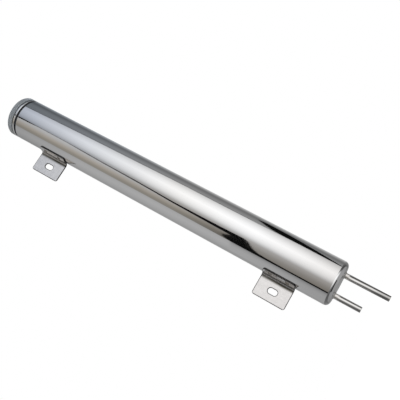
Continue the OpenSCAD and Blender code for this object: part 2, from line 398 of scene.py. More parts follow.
def make_piece(name, surface, body, nodes, slot, material, place, crease=None):
    """Turns a surface into a piece that rides on a body and stands for CAD nodes. It is smooth up to the
    crease in degrees, or else has the surface's own normals."""
    surface.drop_unused()
    mesh = bpy.data.meshes.new(name)
    mesh.from_pydata(surface.verts, [], surface.faces)
    mesh.polygons.foreach_set("use_smooth", [True] * len(mesh.polygons))
    if crease is None:
        mesh.normals_split_custom_set(surface.normals)
    else:
        mesh.set_sharp_from_angle(angle=math.radians(crease))
    mesh.transform(place)
    mesh.materials.append(material)
    if surface.flat:
        flat = mesh.attributes.new(FLAT_PLACE, "FLOAT_VECTOR", "POINT")
        flat.data.foreach_set("vector", [c for place_on_blank in surface.flat for c in place_on_blank])
    mesh.validate()
    mesh.update()
    piece = bpy.data.objects.new(name, mesh)
    bpy.context.scene.collection.objects.link(piece)
    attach(piece, body)
    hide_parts(*nodes)
    return piece


def on_axis(x=AXIS_X):
    return Matrix.Translation((x, AXIS_Y, 0))


# Materials


class Shader:
    """A node tree that is being written, with short calls for the nodes that the finishes share."""

    def __init__(self, name):
        self.material = bpy.data.materials.new(name)
        self.material.use_nodes = True
        self.tree = self.material.node_tree
        self.tree.nodes.clear()
        self.out = self.tree.nodes.new("ShaderNodeOutputMaterial")
        self.place = self.add("ShaderNodeTexCoord").outputs["Object"]

    def add(self, kind, **settings):
        node = self.tree.nodes.new(kind)
        for key, value in settings.items():
            setattr(node, key, value)
        return node

    def join(self, source, target):
        self.tree.links.new(source, target)

    def feed(self, value, socket):
        """Joins an output to a socket, or sets a number or a colour on it."""
        if isinstance(value, bpy.types.NodeSocket):
            self.join(value, socket)
        elif isinstance(value, tuple):
            socket.default_value = (*value, 1)
        else:
            socket.default_value = value

    def principled(self):
        """Bare metal, until its Metallic is set to something else."""
        bsdf = self.add("ShaderNodeBsdfPrincipled")
        bsdf.inputs["Metallic"].default_value = 1
        return bsdf

    def glow(self, tone, strength=1):
        """Light of one tone, a colour or an output."""
        emission = self.add("ShaderNodeEmission")
        emission.inputs["Strength"].default_value = strength
        self.feed(tone, emission.inputs["Color"])
        return emission.outputs[0]

    def noise(self, scale, detail=2.0, roughness=0.5, stretch=(1, 1, 1)):
        """Noise over the piece, its pattern drawn out by the stretch along each axis."""
        mapping = self.add("ShaderNodeMapping")
        mapping.inputs["Scale"].default_value = stretch
        self.join(self.place, mapping.inputs["Vector"])
        noise = self.add("ShaderNodeTexNoise")
        noise.inputs["Scale"].default_value = scale
        noise.inputs["Detail"].default_value = detail
        noise.inputs["Roughness"].default_value = roughness
        self.join(mapping.outputs[0], noise.inputs["Vector"])
        return noise.outputs["Fac"]

    def spread(self, source, low, high, start=0.3, end=0.7):
        """Maps a value between two ends."""
        ramp = self.add("ShaderNodeMapRange")
        ramp.inputs["From Min"].default_value = start
        ramp.inputs["From Max"].default_value = end
        ramp.inputs["To Min"].default_value = low
        ramp.inputs["To Max"].default_value = high
        self.join(source, ramp.inputs["Value"])
        return ramp.outputs["Result"]

    def math(self, operation, a, b=None):
        node = self.add("ShaderNodeMath", operation=operation)
        for socket, value in zip(node.inputs, (a, b)):
            if value is not None:
                self.feed(value, socket)
        return node.outputs[0]

    def axes(self):
        """The three coordinates that the piece's finish is drawn in."""
        split = self.add("ShaderNodeSeparateXYZ")
        self.join(self.place, split.inputs[0])
        return split.outputs

    def reach(self, *legs):
        """Distance from the legs of a right-angled triangle."""
        squares = [self.math("MULTIPLY", leg, leg) for leg in legs]
        return self.math("SQRT", self.math("ADD", *squares))

    def blend(self, factor, a, b, kind="MIX"):
        """Mixes two colours, each a tuple or an output."""
        mix = self.add("ShaderNodeMix", data_type="RGBA", blend_type=kind)
        self.feed(factor, mix.inputs["Factor"])
        self.feed(a, mix.inputs[6])
        self.feed(b, mix.inputs[7])
        return mix.outputs[2]

    def turn(self):
        """Turn round the tank's axis in degrees, from the front (-Y) towards +X."""
        x, y, _z = self.axes()
        return self.math("MULTIPLY", self.math("ARCTAN2", x, self.math("MULTIPLY", y, -1)), 180 / math.pi)

    def bump(self, height, distance, strength=1.0, below=None):
        node = self.add("ShaderNodeBump")
        node.inputs["Strength"].default_value = strength
        node.inputs["Distance"].default_value = distance
        self.join(height, node.inputs["Height"])
        if below is not None:
            self.join(below, node.inputs["Normal"])
        return node.outputs["Normal"]

    def surface(self, shader):
        self.join(shader, self.out.inputs["Surface"])
        return self.material


def scaled(rgb, factor):
    return tuple(min(c * factor, 1) for c in rgb)


def metal(name, rgb, rough, haze, lines, line_depth, wear=0.92, blotch=None):
    """Bare metal: tone that drifts a little, fine tool lines, and roughness that varies with both."""
    s = Shader(name)
    bsdf = s.principled()
    drift = s.noise(45, 3)
    grain = s.noise(1, 4, 0.7, lines)
    tone = s.blend(s.spread(drift, 0, 1), scaled(rgb, wear), scaled(rgb, 1.03))
    if blotch is not None:
        tone = s.blend(s.spread(s.noise(260, 2), 0, 0.7, 0.45, 0.7), tone, blotch)
    s.join(tone, bsdf.inputs["Base Color"])
    rough_drift = s.spread(drift, rough - haze, rough + haze)
    rough_grain = s.spread(grain, -haze, haze)
    s.join(s.math("MAXIMUM", s.math("ADD", rough_drift, rough_grain), 0.02), bsdf.inputs["Roughness"])
    s.join(s.bump(grain, line_depth), bsdf.inputs["Normal"])
    return s.surface(bsdf.outputs[0])


def mirror_steel(finish):
    """Mirror polish: faint waves of the drawn tube, and hair lines from the mop that run round it."""
    s = Shader("mirror_steel")
    bsdf = s.principled()
    rgb = finish.mirror
    waves = s.noise(22, 2)
    hair = s.noise(1, 3, 0.6, (90, 90, 5200))
    tone = s.blend(s.spread(s.noise(30, 3), 0, 1), scaled(rgb, 0.985), scaled(rgb, 1.01))
    s.join(tone, bsdf.inputs["Base Color"])
    rough = finish.mirror_rough
    s.join(s.spread(hair, rough * 0.75, rough * 1.4), bsdf.inputs["Roughness"])
    wavy = s.bump(waves, 0.00006)
    s.join(s.bump(hair, 0.0000004, below=wavy), bsdf.inputs["Normal"])
    return s.surface(bsdf.outputs[0])


def rubber(finish):
    """Moulded black rubber with a fine matt grain and a little dust."""
    s = Shader("gasket_rubber")
    bsdf = s.add("ShaderNodeBsdfPrincipled")
    bsdf.inputs["Specular IOR Level"].default_value = 0.35
    rgb = tuple(finish.rubber)
    dust = s.spread(s.noise(420, 4, 0.7), 0, 1, 0.45, 0.8)
    s.join(s.blend(dust, rgb, scaled(rgb, 2.2)), bsdf.inputs["Base Color"])
    rough = finish.rubber_rough
    s.join(s.spread(dust, rough - 0.06, rough + 0.1, 0, 1), bsdf.inputs["Roughness"])
    s.join(s.bump(s.noise(2600, 3, 0.6), 0.00004), bsdf.inputs["Normal"])
    return s.surface(bsdf.outputs[0])


def knurled_aluminium(finish, sizes):
    """Satin aluminium with turned lines: grip crests rubbed lighter, painted shade in the groove and a bright
    flange.
    """
    s = Shader("cap_aluminium")
    bsdf = s.principled()
    rgb = finish.cap
    x, y, z = s.axes()
    radius = s.reach(s.math("SUBTRACT", x, AXIS_X), s.math("SUBTRACT", y, AXIS_Y))
    crest = s.spread(radius, 0, 1, TUBE_R - 0.25 * MM, TUBE_R - 0.02 * MM)
    drift = s.noise(70, 3)
    grain = s.noise(1, 3, 0.6, (120, 120, 6500))
    tone = s.blend(s.spread(drift, 0, 1), scaled(rgb, 0.95), scaled(rgb, 1.03))
    tone = s.blend(s.math("MULTIPLY", crest, s.spread(drift, 0.5, 1)), tone, scaled(rgb, 1.08))
    flange_top = CAP_FOOT + sizes.flange
    groove_top = flange_top + sizes.groove
    soft = 0.1 * MM
    # Painted shade in the groove between flange and grip band: the colour there darkens to 0.45 of the cap's
    groove = s.spread(z, 1, 0, groove_top, groove_top + 2 * soft)
    tone = s.blend(groove, tone, scaled(rgb, 0.45))
    flange = s.spread(z, 1, 0, flange_top - 2 * soft, flange_top)
    tone = s.blend(flange, tone, tuple(finish.flange))
    s.join(tone, bsdf.inputs["Base Color"])
    satin = s.spread(grain, finish.cap_rough - 0.05, finish.cap_rough + 0.06)
    satin = s.math("ADD", satin, s.math("MULTIPLY", crest, -0.05))
    turned = s.math("MULTIPLY", flange, finish.flange_rough - finish.cap_rough)
    s.join(s.math("MAXIMUM", s.math("ADD", satin, turned), 0.03), bsdf.inputs["Roughness"])
    s.join(s.bump(grain, 0.0000012), bsdf.inputs["Normal"])
    return s.surface(bsdf.outputs[0])


def cut_and_shaded_share(s, sizes, blank, u, v, w):
    """Share of the near-black tone: the cut edges, which are dull steel painted dark as shade, and a line of
    painted shade beside them on the faces.
    """
    shade_line = sizes.shade_line
    # The cut edges' own faces, painted near-black as shade
    inward = s.math("MINIMUM", w, s.math("SUBTRACT", sizes.sheet, w))
    cut_and_shaded = s.spread(inward, 0, 1, sizes.ease * 0.06, sizes.ease * 0.4)
    half = (PLATE_HIGH.z - PLATE_LOW.z) / 2
    along = s.math("ABSOLUTE", v)
    past = s.math("MAXIMUM", s.math("SUBTRACT", along, (sizes.slot_length - sizes.slot_width) / 2), 0)
    from_slot = s.reach(s.math("SUBTRACT", u, -AXIS_X - blank.plate_edge), past)
    slot_r = sizes.slot_width / 2
    # Lines of painted shade on the faces: beside the long edges, the plate's outer edge, the leg's tip and
    # round the slot
    for line in (
        s.spread(along, 0, 1, half - shade_line, half - shade_line * 0.4),
        s.spread(u, 1, 0, shade_line * 0.4, shade_line),
        s.spread(u, 0, 0.5, blank.length - shade_line / 2, blank.length),
        s.spread(from_slot, 1, 0, slot_r + shade_line * 0.4, slot_r + shade_line),
    ):
        cut_and_shaded = s.math("MAXIMUM", cut_and_shaded, line)
    return cut_and_shaded


def bracket_steel(finish, sizes):
    """Brushed sheet, drawn on the flat blank: grain along the tank, dull cut edges painted near-black as
    shade with a line of painted shade beside them, painted shade tinted olive brown in the crook of the bend,
    a leg polished with the tube and straw tint round the weld spots."""
    s = Shader("brushed_sheet")
    bsdf = s.principled()
    s.place = s.add("ShaderNodeAttribute", attribute_name=FLAT_PLACE).outputs["Vector"]
    u, v, w = s.axes()
    rgb = finish.sheet
    blank = Blank(sizes)
    patches = s.noise(210, 3)
    drift = s.noise(60, 2)
    grain = s.noise(1, 4, 0.65, (2600, 55, 55))
    tone = s.blend(s.spread(patches, 0, 1), scaled(rgb, 0.88), scaled(rgb, 1.06))
    tone = s.blend(s.spread(grain, 0, 0.5), tone, scaled(rgb, 0.8))

    spot_u = blank.turn_to_u(spot_turn(blank, sizes))
    spot_v = max(spot_heights())
    from_spot = s.reach(s.math("SUBTRACT", u, spot_u), s.math("SUBTRACT", s.math("ABSOLUTE", v), spot_v))
    heat = s.spread(from_spot, 1, 0, sizes.spot / 2, sizes.spot / 2 + sizes.heat_reach)
    tone = s.blend(s.math("MULTIPLY", heat, s.spread(patches, 0.5, 1)), tone, tuple(finish.heat))

    bend_start, bend_run = blank.plate_run, blank.bend_run
    bend_end = bend_start + bend_run
    polish = s.spread(u, 0, 1, bend_end - bend_run * 0.3, bend_end)
    tone = s.blend(s.math("MULTIPLY", polish, s.math("SUBTRACT", 1, heat)), tone, tuple(finish.mirror))

    # Painted shade in the crook of the bend: darkest where the bend starts, fading out onto the plate and
    # before the leg
    plate_side = s.spread(u, 0, 1, bend_start - sizes.bend_shade_reach, bend_start)
    leg_side = s.spread(u, 1, 0, bend_start + bend_run * 0.3, bend_start + bend_run * 0.85)
    shade = s.math("MULTIPLY", plate_side, leg_side)
    shade = s.math("MULTIPLY", s.math("MULTIPLY", shade, shade), s.spread(drift, 0.75, 1))
    tone = s.blend(shade, tone, tuple(finish.bend_shade))

    # Cut edges and the lines beside them, painted near-black as shade
    cut_and_shaded = cut_and_shaded_share(s, sizes, blank, u, v, w)
    s.join(s.blend(cut_and_shaded, tone, tuple(finish.cut_and_shaded)), bsdf.inputs["Base Color"])
    rough = s.spread(patches, finish.sheet_rough - 0.04, finish.sheet_rough + 0.04)
    rough = s.math("ADD", rough, s.spread(grain, -0.03, 0.03))
    rough = s.math("ADD", rough, s.math("MULTIPLY", polish, finish.leg_rough - finish.sheet_rough))
    s.join(s.math("ADD", rough, s.math("MULTIPLY", cut_and_shaded, 0.12)), bsdf.inputs["Roughness"])
    s.join(s.bump(grain, 0.0000008), bsdf.inputs["Normal"])
    return s.surface(bsdf.outputs[0])


MATERIALS = {}


def finish_of(slot):
    """The material of a slot of the record, made when it is first asked for. The beads round the pipes share
    their slot with the other welds, and have a brighter material of their own."""
    if slot not in MATERIALS:
        f = bpy.context.scene.tank_finish
        makers = {
            "mirror_steel": lambda: mirror_steel(f),
            "pipe_steel": lambda: metal(
                slot, f.pipe, f.pipe_rough, haze=0.03, lines=(1500, 1500, 30), line_depth=0.0000006
            ),
            "weld_metal": lambda: metal(
                slot, f.weld, f.weld_rough, haze=0.07, lines=(700, 700, 700), line_depth=0.00003, wear=0.75,
                blotch=(0.42, 0.36, 0.29),
            ),
            "pipe_bead": lambda: metal(
                slot, f.bead, f.bead_rough, haze=0.04, lines=(500, 500, 500), line_depth=0.000004, wear=0.85
            ),
            "turned_steel": lambda: metal(
                slot, f.turned, f.turned_rough, haze=0.05, lines=(60, 60, 5000), line_depth=0.000004
            ),
            "brushed_sheet": lambda: bracket_steel(f, bpy.context.scene.tank_brackets),
            "gasket_rubber": lambda: rubber(f),
            "cap_aluminium": lambda: knurled_aluminium(f, bpy.context.scene.tank_cap),
        }
        MATERIALS[slot] = makers[slot]()
    return MATERIALS[slot]


# The pieces


def tube_surface(s):
    """The long tube: outside, inside, a plain cut at the weld and an eased open rim."""
    bore = TUBE_R - s.wall
    ease = s.rim_ease
    low, high = TUBE_LOW.z, TUBE_HIGH.z
    line = Outline(bore, low).line(TUBE_R, low)
    line.line(TUBE_R, high - ease, 12).arc((TUBE_R - ease, high - ease), ease, 0, 90, 4)
    line.line(bore + ease, high).arc((bore + ease, high - ease), ease, 90, 180, 4).line(bore, low, 12)
    surface = Surface()
    surface.revolve(line, s.segments)
    return surface


def cup_surface(s, pipe_places):
    """The drawn end cup with its rounded corner and the two pipe holes in its floor."""
    bore = TUBE_R - s.wall
    low, high = CUP_LOW.z, CUP_HIGH.z
    inner = s.corner - s.wall
    flat_r = TUBE_R - s.corner
    line = Outline(flat_r, low)
    line.arc((flat_r, low + s.corner), s.corner, -90, 0, 24).line(TUBE_R, high).line(bore, high)
    line.line(bore, low + s.corner)
    line.arc((flat_r, low + s.corner), inner, 0, -90, 10)
    surface = Surface()
    rows = surface.revolve(line, s.segments)
    hole_r = PIPE_R + s.hole_fit
    floor = low + s.wall
    lower, upper = [rows[0]], [rows[-1]]
    for x in pipe_places:
        turns = full_turn(HOLE_SEGMENTS)
        ring = [(x + hole_r * math.cos(a), hole_r * math.sin(a)) for a in turns]
        foot = surface.add_verts([(px, py, low) for px, py in ring])
        head = surface.add_verts([(px, py, floor) for px, py in ring])
        for k, a in enumerate(turns):
            j = (k + 1) % len(turns)
            b = turns[j]
            inward = [(-math.cos(a), -math.sin(a), 0), (-math.cos(b), -math.sin(b), 0)]
            surface.add_face(
                (foot[j], foot[k], head[k], head[j]), (inward[1], inward[0], inward[0], inward[1])
            )
        lower.append(foot)
        upper.append(head)

    def in_hole(mid):
        return any(math.hypot(mid.x - x, mid.y) < hole_r for x in pipe_places)

    surface.fill(lower, -1, in_hole)
    surface.fill(upper, 1, in_hole)
    return surface


def seam_surface(s):
    """The butt weld, flush and polished outside, with its root standing proud inside."""
    low, high = SEAM_LOW.z, SEAM_HIGH.z
    bore = TUBE_R - s.wall
    root = 0.5 * MM
    line = Outline(bore, low).line(TUBE_R, low).line(TUBE_R, high).line(bore, high)
    mid = (low + high) / 2
    line.line(bore - root, mid).line(bore, low)
    surface = Surface()
    surface.revolve(line, s.segments)
    return surface


class TANK_OT_shell(Operator):
    """Makes the polished tube, the end cup and the flush seam between them"""

    bl_idname = "tank.shell"
    bl_label = "Polished Shell"

    def execute(self, context):
        s = context.scene.tank_shell
        polish = finish_of("mirror_steel")
        holes = [RETURN_X - AXIS_X, VENT_X - AXIS_X]
        for name, surface, node in (
            ("polished_tube", tube_surface(s), "tank_tube"),
            ("drawn_end_cup", cup_surface(s, holes), "end_cup"),
            ("flush_seam", seam_surface(s), "end_seam_weld"),
        ):
            make_piece(name, surface, "tank", [node], "mirror_steel", polish, on_axis())
        return {"FINISHED"}


def pipe_surface(s, low, high):
    """A plain tube with the burrs taken off its cut ends."""
    bore = PIPE_R - s.wall
    tip, inner = s.tip_ease, s.bore_ease
    line = Outline(bore + inner, low).line(PIPE_R - tip, low)
    line.arc((PIPE_R - tip, low + tip), tip, -90, 0, 6).line(PIPE_R, high - tip, 8)
    line.arc((PIPE_R - tip, high - tip), tip, 0, 90, 6).line(bore + inner, high)
    line.arc((bore + inner, high - inner), inner, 90, 180, 3).line(bore, low + inner, 8)
    line.arc((bore + inner, low + inner), inner, 180, 270, 3)
    surface = Surface()
    surface.revolve(line, 72)
    return surface


def ripple_wave(turn, count):
    """Height share of a weld bead's ripples: round crests with sharp valleys, a little uneven."""
    phase = count * turn / (2 * math.pi)
    uneven = 0.16 * math.sin(3 * turn + 0.7) + 0.1 * math.sin(7 * turn)
    return abs(math.sin(math.pi * phase)) + uneven


def bead_surface(s):
    """The weld bead round a pipe: a hollow fillet whose face carries the ripples of the torch."""
    surface = Surface()
    segments, steps = 228, 8
    slant = 0.7
    root_r = PIPE_R - s.bead_bite
    top = FOOT_Z
    rows = []
    for turn in full_turn(segments):
        lift = slant * s.ripple * ripple_wave(turn, s.bead_ripples)
        section = [(root_r, top), (root_r, top - s.bead_leg)]
        for i in range(steps + 1):
            t = i / steps
            swell = lift * math.sin(math.pi * t)
            section.append((PIPE_R + s.bead_leg * t + swell, min(top - s.bead_leg * (1 - t) - swell, top)))
        rows.append(surface.add_verts([(r * math.cos(turn), r * math.sin(turn), z) for r, z in section]))
    count = len(rows[0])
    for a, b in zip(rows, rows[1:] + rows[:1]):
        for i in range(count):
            j = (i + 1) % count
            surface.add_face((a[i], b[i], b[j], a[j]), [(0, 0, 1)] * 4)
    return surface


class TANK_OT_pipes(Operator):
    """Makes the return pipe, the vent standpipe and the weld bead round each"""

    bl_idname = "tank.pipes"
    bl_label = "Hose Pipes"

    def execute(self, context):
        s = context.scene.tank_pipes
        drawn, weld = finish_of("pipe_steel"), finish_of("pipe_bead")
        for name, x, low, high, node in (
            ("return_hose_pipe", RETURN_X, RETURN_LOW.z, RETURN_HIGH.z, "return_pipe"),
            ("vent_hose_pipe", VENT_X, VENT_LOW.z, VENT_HIGH.z, "vent_standpipe"),
        ):
            make_piece(name, pipe_surface(s, low, high), "tank", [node], "pipe_steel", drawn, on_axis(x))
        for name, x, node in (
            ("return_pipe_bead", RETURN_X, "return_pipe_weld"),
            ("vent_pipe_bead", VENT_X, "vent_pipe_weld"),
        ):
            make_piece(name, bead_surface(s), "tank", [node], "weld_metal", weld, on_axis(x), crease=50)
        return {"FINISHED"}


def thread_share(turn, z, pitch):
    """Depth share of a right-hand thread at a place: 0 on its crest and 1 at its root."""
    crest, flank = 0.2, 0.6
    wave = (z / pitch - turn / (2 * math.pi)) % 1
    rise = abs(2 * wave - 1)
    return min(max((rise - crest) / flank, 0), 1)


def threaded_rows(surface, segments, heights, radius, depth, pitch, fade):
    """Rows of vertices over a threaded cylinder; depth is below zero for a thread cut outwards."""
    low, high = min(heights), max(heights)
    rows = []
    for z in heights:
        near = min(z - low, high - z)
        cut = depth * min(max(near / fade, 0), 1)
        row = []
        for turn in full_turn(segments):
            r = radius - cut * thread_share(turn, z, pitch)
            row.append((r * math.cos(turn), r * math.sin(turn), z))
        rows.append(surface.add_verts(row))
    return rows


def ring_row(surface, r, z, segments):
    return surface.add_verts([(r * math.cos(a), r * math.sin(a), z) for a in full_turn(segments)])


def skin(surface, rows, closed=False):
    """Quads between neighbouring rows, walked with the metal on their left."""
    pairs = list(zip(rows, rows[1:]))
    if closed:
        pairs.append((rows[-1], rows[0]))
    for low, high in pairs:
        count = len(low)
        for k in range(count):
            j = (k + 1) % count
            surface.add_face((low[k], low[j], high[j], high[k]), [(0, 0, 1)] * 4)


def steps_between(start, end, step):
    count = max(int(round(abs(end - start) / step)), 1)
    return [start + (end - start) * i / count for i in range(count + 1)]


def neck_surface(s):
    """The filler neck: a turned ring with the cap's thread cut in its bore."""
    bore = NECK_R - s.wall
    low, high = NECK_LOW.z, NECK_HIGH.z
    surface = Surface()
    rows = [
        ring_row(surface, r, z, RING_SEGMENTS)
        for r, z in (
            (bore + s.chamfer, low),
            (NECK_R, low),
            (NECK_R, high - s.weld_leg),
            (NECK_R - s.weld_leg, high),
            (bore + s.chamfer, high),
        )
    ]
    heights = steps_between(high - s.chamfer, low + s.chamfer, s.pitch / THREAD_STEPS)
    rows += threaded_rows(surface, RING_SEGMENTS, heights, bore, -s.thread, s.pitch, s.pitch / 2)
    skin(surface, rows, closed=True)
    return surface


def rim_weld_surface(s):
    """The weld between neck and rim, a flat ring with shallow ripples."""
    surface = Surface()
    ripple, ripples = 0.06 * MM, 60
    crest = 1.2
    outer, low, high = NECK_WELD_HIGH.x - AXIS_X, NECK_WELD_LOW.z, NECK_WELD_HIGH.z
    rows = [[], [], [], [], []]
    for turn in full_turn(RING_SEGMENTS):
        dip = ripple * (crest - ripple_wave(turn, ripples))
        section = [
            (outer, low),
            (outer, high),
            (outer - s.weld_leg / 2, high - dip),
            (NECK_R - s.weld_leg, high),
            (NECK_R, low),
        ]
        for row, (r, z) in zip(rows, section):
            row += surface.add_verts([(r * math.cos(turn), r * math.sin(turn), z)])
    skin(surface, rows, closed=True)
    return surface


class TANK_OT_neck(Operator):
    """Makes the threaded filler neck and the weld that holds it in the rim"""

    bl_idname = "tank.neck"
    bl_label = "Filler Neck"

    def execute(self, context):
        s = context.scene.tank_neck
        for name, surface, node, slot, crease in (
            ("threaded_neck", neck_surface(s), "filler_neck", "turned_steel", 30),
            ("neck_rim_weld", rim_weld_surface(s), "neck_weld", "weld_metal", 50),
        ):
            make_piece(name, surface, "tank", [node], slot, finish_of(slot), on_axis(), crease)
        return {"FINISHED"}


def spigot_radius():
    """Outside radius of the cap's spigot."""
    scene = bpy.context.scene
    return NECK_R - scene.tank_neck.wall - scene.tank_cap.spigot_gap


def gasket_surface():
    """The gasket: a flat ring with a round outer edge and the fine line of its mould."""
    low, high = GASKET_LOW.z, GASKET_HIGH.z
    edge = (high - low) / 2
    flash = 0.09 * MM
    flash_turn = 5
    spigot_room = 0.3 * MM
    inner = spigot_radius() + spigot_room
    centre = (GASKET_R - edge - flash, low + edge)
    a = math.radians(flash_turn)
    line = Outline(inner, low).line(centre[0], low)
    line.arc(centre, edge, -90, -flash_turn, 12).line(GASKET_R, low + edge)
    line.line(centre[0] + edge * math.cos(a), centre[1] + edge * math.sin(a))
    line.arc(centre, edge, flash_turn, 90, 12).line(inner, high).line(inner, low)
    surface = Surface()
    surface.revolve(line, RING_SEGMENTS)
    return surface


class TANK_OT_gasket(Operator):
    """Makes the rubber gasket between the rim and the cap"""

    bl_idname = "tank.gasket"
    bl_label = "Cap Gasket"

    def execute(self, context):
        slot = "gasket_rubber"
        ring = gasket_surface()
        make_piece("rubber_gasket", ring, "gasket", ["cap_gasket"], slot, finish_of(slot), on_axis())
        return {"FINISHED"}


def knurl_share(k):
    """How deep the grip band is cut at one of the four steps of a ridge."""
    return (0.0, 0.12, 1.0, 0.88)[k % 4]


def cap_surface(s, pitch):
    """The screw cap in one skin: threaded spigot, flange, groove, knurled band, rounded top and dish."""
    segments = 4 * s.ridges
    low, foot = CAP_LOW.z, CAP_FOOT
    flange_top = foot + s.flange
    band_foot = flange_top + s.groove
    band_top = band_foot + s.band
    top = band_top + s.edge
    dish_floor = top - s.dish
    inner_top = dish_floor - s.top_wall
    flange_r = TUBE_R - s.flange_edge
    groove_r = TUBE_R - s.groove_depth
    root = TUBE_R - s.knurl
    edge_r = root - s.ledge - s.edge
    dish_r = edge_r - s.rim
    spigot = spigot_radius()
    hollow = spigot - s.spigot_wall
    bevel = 0.22 * MM
    run_out = 2.5 * bevel
    relief = 0.3 * MM
    surface = Surface()

    def rings(*places):
        return [ring_row(surface, r, z, segments) for r, z in places]

    def band_ring(z):
        radii = [TUBE_R - s.knurl * knurl_share(k) for k in range(segments)]
        return surface.add_verts(
            [(r * math.cos(a), r * math.sin(a), z) for r, a in zip(radii, full_turn(segments))]
        )

    def rounded(centre_r, centre_z, radius, start, end, steps):
        turns = [math.radians(start + (end - start) * i / steps) for i in range(steps + 1)]
        return rings(*[(centre_r + radius * math.cos(a), centre_z + radius * math.sin(a)) for a in turns])

    rows = rings((hollow, low), (spigot - s.spigot_chamfer, low))
    heights = steps_between(low + s.spigot_chamfer, foot - relief, pitch / THREAD_STEPS)
    rows += threaded_rows(surface, segments, heights, spigot, s.thread, pitch, pitch / 2)
    rows += rings((spigot, foot), (flange_r, foot))
    rows += rounded(flange_r, foot + s.flange_edge, s.flange_edge, -75, 0, 5)
    rows += rounded(flange_r, flange_top - s.flange_edge, s.flange_edge, 0, 75, 5)
    rows += rings((flange_r, flange_top), (groove_r + bevel, flange_top))
    rows += rings((groove_r, flange_top + bevel), (groove_r, band_foot), (root - bevel, band_foot))
    rows += [band_ring(band_foot + bevel), band_ring(band_foot + run_out)]
    rows += [band_ring(band_top - run_out), band_ring(band_top - bevel)]
    rows += rings((root - bevel / 2, band_top))
    rows += rounded(edge_r, band_top, s.edge, 0, 90, 12)
    rows += rings((dish_r + bevel, top), (dish_r, top - bevel), (dish_r, dish_floor + bevel))
    rows += rings((dish_r - bevel, dish_floor), (dish_r / 2, dish_floor))
    skin(surface, rows)
    under = [*rings((hollow / 2, inner_top), (hollow, inner_top)), rows[0]]
    skin(surface, under)
    cap_off(surface, rows[-1], (0, 0, dish_floor), True)
    cap_off(surface, under[0], (0, 0, inner_top), False)
    return surface


def cap_off(surface, row, centre, up):
    """Closes a ring with a fan round its centre."""
    mid = surface.add_verts([centre])[0]
    for k, vert in enumerate(row):
        after = row[(k + 1) % len(row)]
        corners = (vert, after, mid) if up else (after, vert, mid)
        surface.add_face(corners, [(0, 0, 1)] * 3)


class TANK_OT_cap(Operator):
    """Makes the knurled screw cap with its threaded spigot"""

    bl_idname = "tank.cap"
    bl_label = "Screw Cap"

    def execute(self, context):
        scene = context.scene
        slot = "cap_aluminium"
        surface = cap_surface(scene.tank_cap, scene.tank_neck.pitch)
        make_piece("knurled_cap", surface, "cap", ["cap_body"], slot, finish_of(slot), on_axis(), crease=24)
        return {"FINISHED"}


# Brackets: a flat blank is cut and eased, then bent round the tube


class Blank:
    """The developed sheet of a bracket: u runs from the plate's outer edge to the leg's tip, v along the
    tank, and w from the face that is seen down to the back."""

    def __init__(self, s):
        self.sheet = s.sheet
        self.bend_r = s.bend
        self.plate_edge = PLATE_LOW.x - AXIS_X
        self.front_y = PLATE_HIGH.y - s.sheet - AXIS_Y
        leg_r = TUBE_R + s.sheet
        self.leg_r = leg_r
        self.bend_y = self.front_y - s.bend
        self.bend_x = -math.sqrt((leg_r + s.bend) ** 2 - self.bend_y**2)
        self.bend_turn = math.atan2(-self.bend_y, -self.bend_x)
        self.plate_run = self.bend_x - self.plate_edge
        self.bend_mid = s.bend + s.sheet / 2
        self.bend_run = self.bend_mid * (math.pi / 2 - self.bend_turn)
        self.leg_mid = leg_r - s.sheet / 2
        self.leg_run = self.leg_mid * (s.leg_wrap - self.bend_turn)
        self.length = self.plate_run + self.bend_run + self.leg_run

    def turn_to_u(self, turn):
        return self.plate_run + self.bend_run + self.leg_mid * (turn - self.bend_turn)

    def heading(self, u):
        """The angle that fixes the sheet's face and its run at u."""
        if u <= self.plate_run:
            return math.pi / 2
        if u <= self.plate_run + self.bend_run:
            return math.pi / 2 - (u - self.plate_run) / self.bend_mid
        return self.bend_turn + (u - self.plate_run - self.bend_run) / self.leg_mid

    def place(self, u, v, w):
        a = self.heading(u)
        if u <= self.plate_run:
            return (self.plate_edge + u, self.front_y + w, v)
        if u <= self.plate_run + self.bend_run:
            r = self.bend_r + w
            return (self.bend_x + r * math.cos(a), self.bend_y + r * math.sin(a), v)
        r = self.leg_r - w
        return (-r * math.cos(a), -r * math.sin(a), v)

    def direction(self, u, du, dv, dw):
        """A direction on the sheet, turned into the part's frame; dw is positive out of the seen face."""
        a = self.heading(u)
        x = du * math.sin(a) - dw * math.cos(a)
        y = -du * math.cos(a) - dw * math.sin(a)
        return (x, y, dv)


def round_corner(cu, cv, r, start, end, steps=8):
    """Points and outward directions of a corner, angles in degrees from +u towards +v."""
    turns = [math.radians(start + (end - start) * i / steps) for i in range(steps + 1)]
    return [((cu + r * math.cos(a), cv + r * math.sin(a)), (math.cos(a), math.sin(a))) for a in turns]


def edge_stations(blank):
    """Places along u at which the long edges get a point, close together where the sheet is curved."""
    bend_step, leg_step = 0.35 * MM, 0.8 * MM
    bend_end = blank.plate_run + blank.bend_run
    curved = steps_between(blank.plate_run, bend_end, bend_step)
    leg = steps_between(bend_end, blank.length, leg_step)
    return curved + leg[1:]


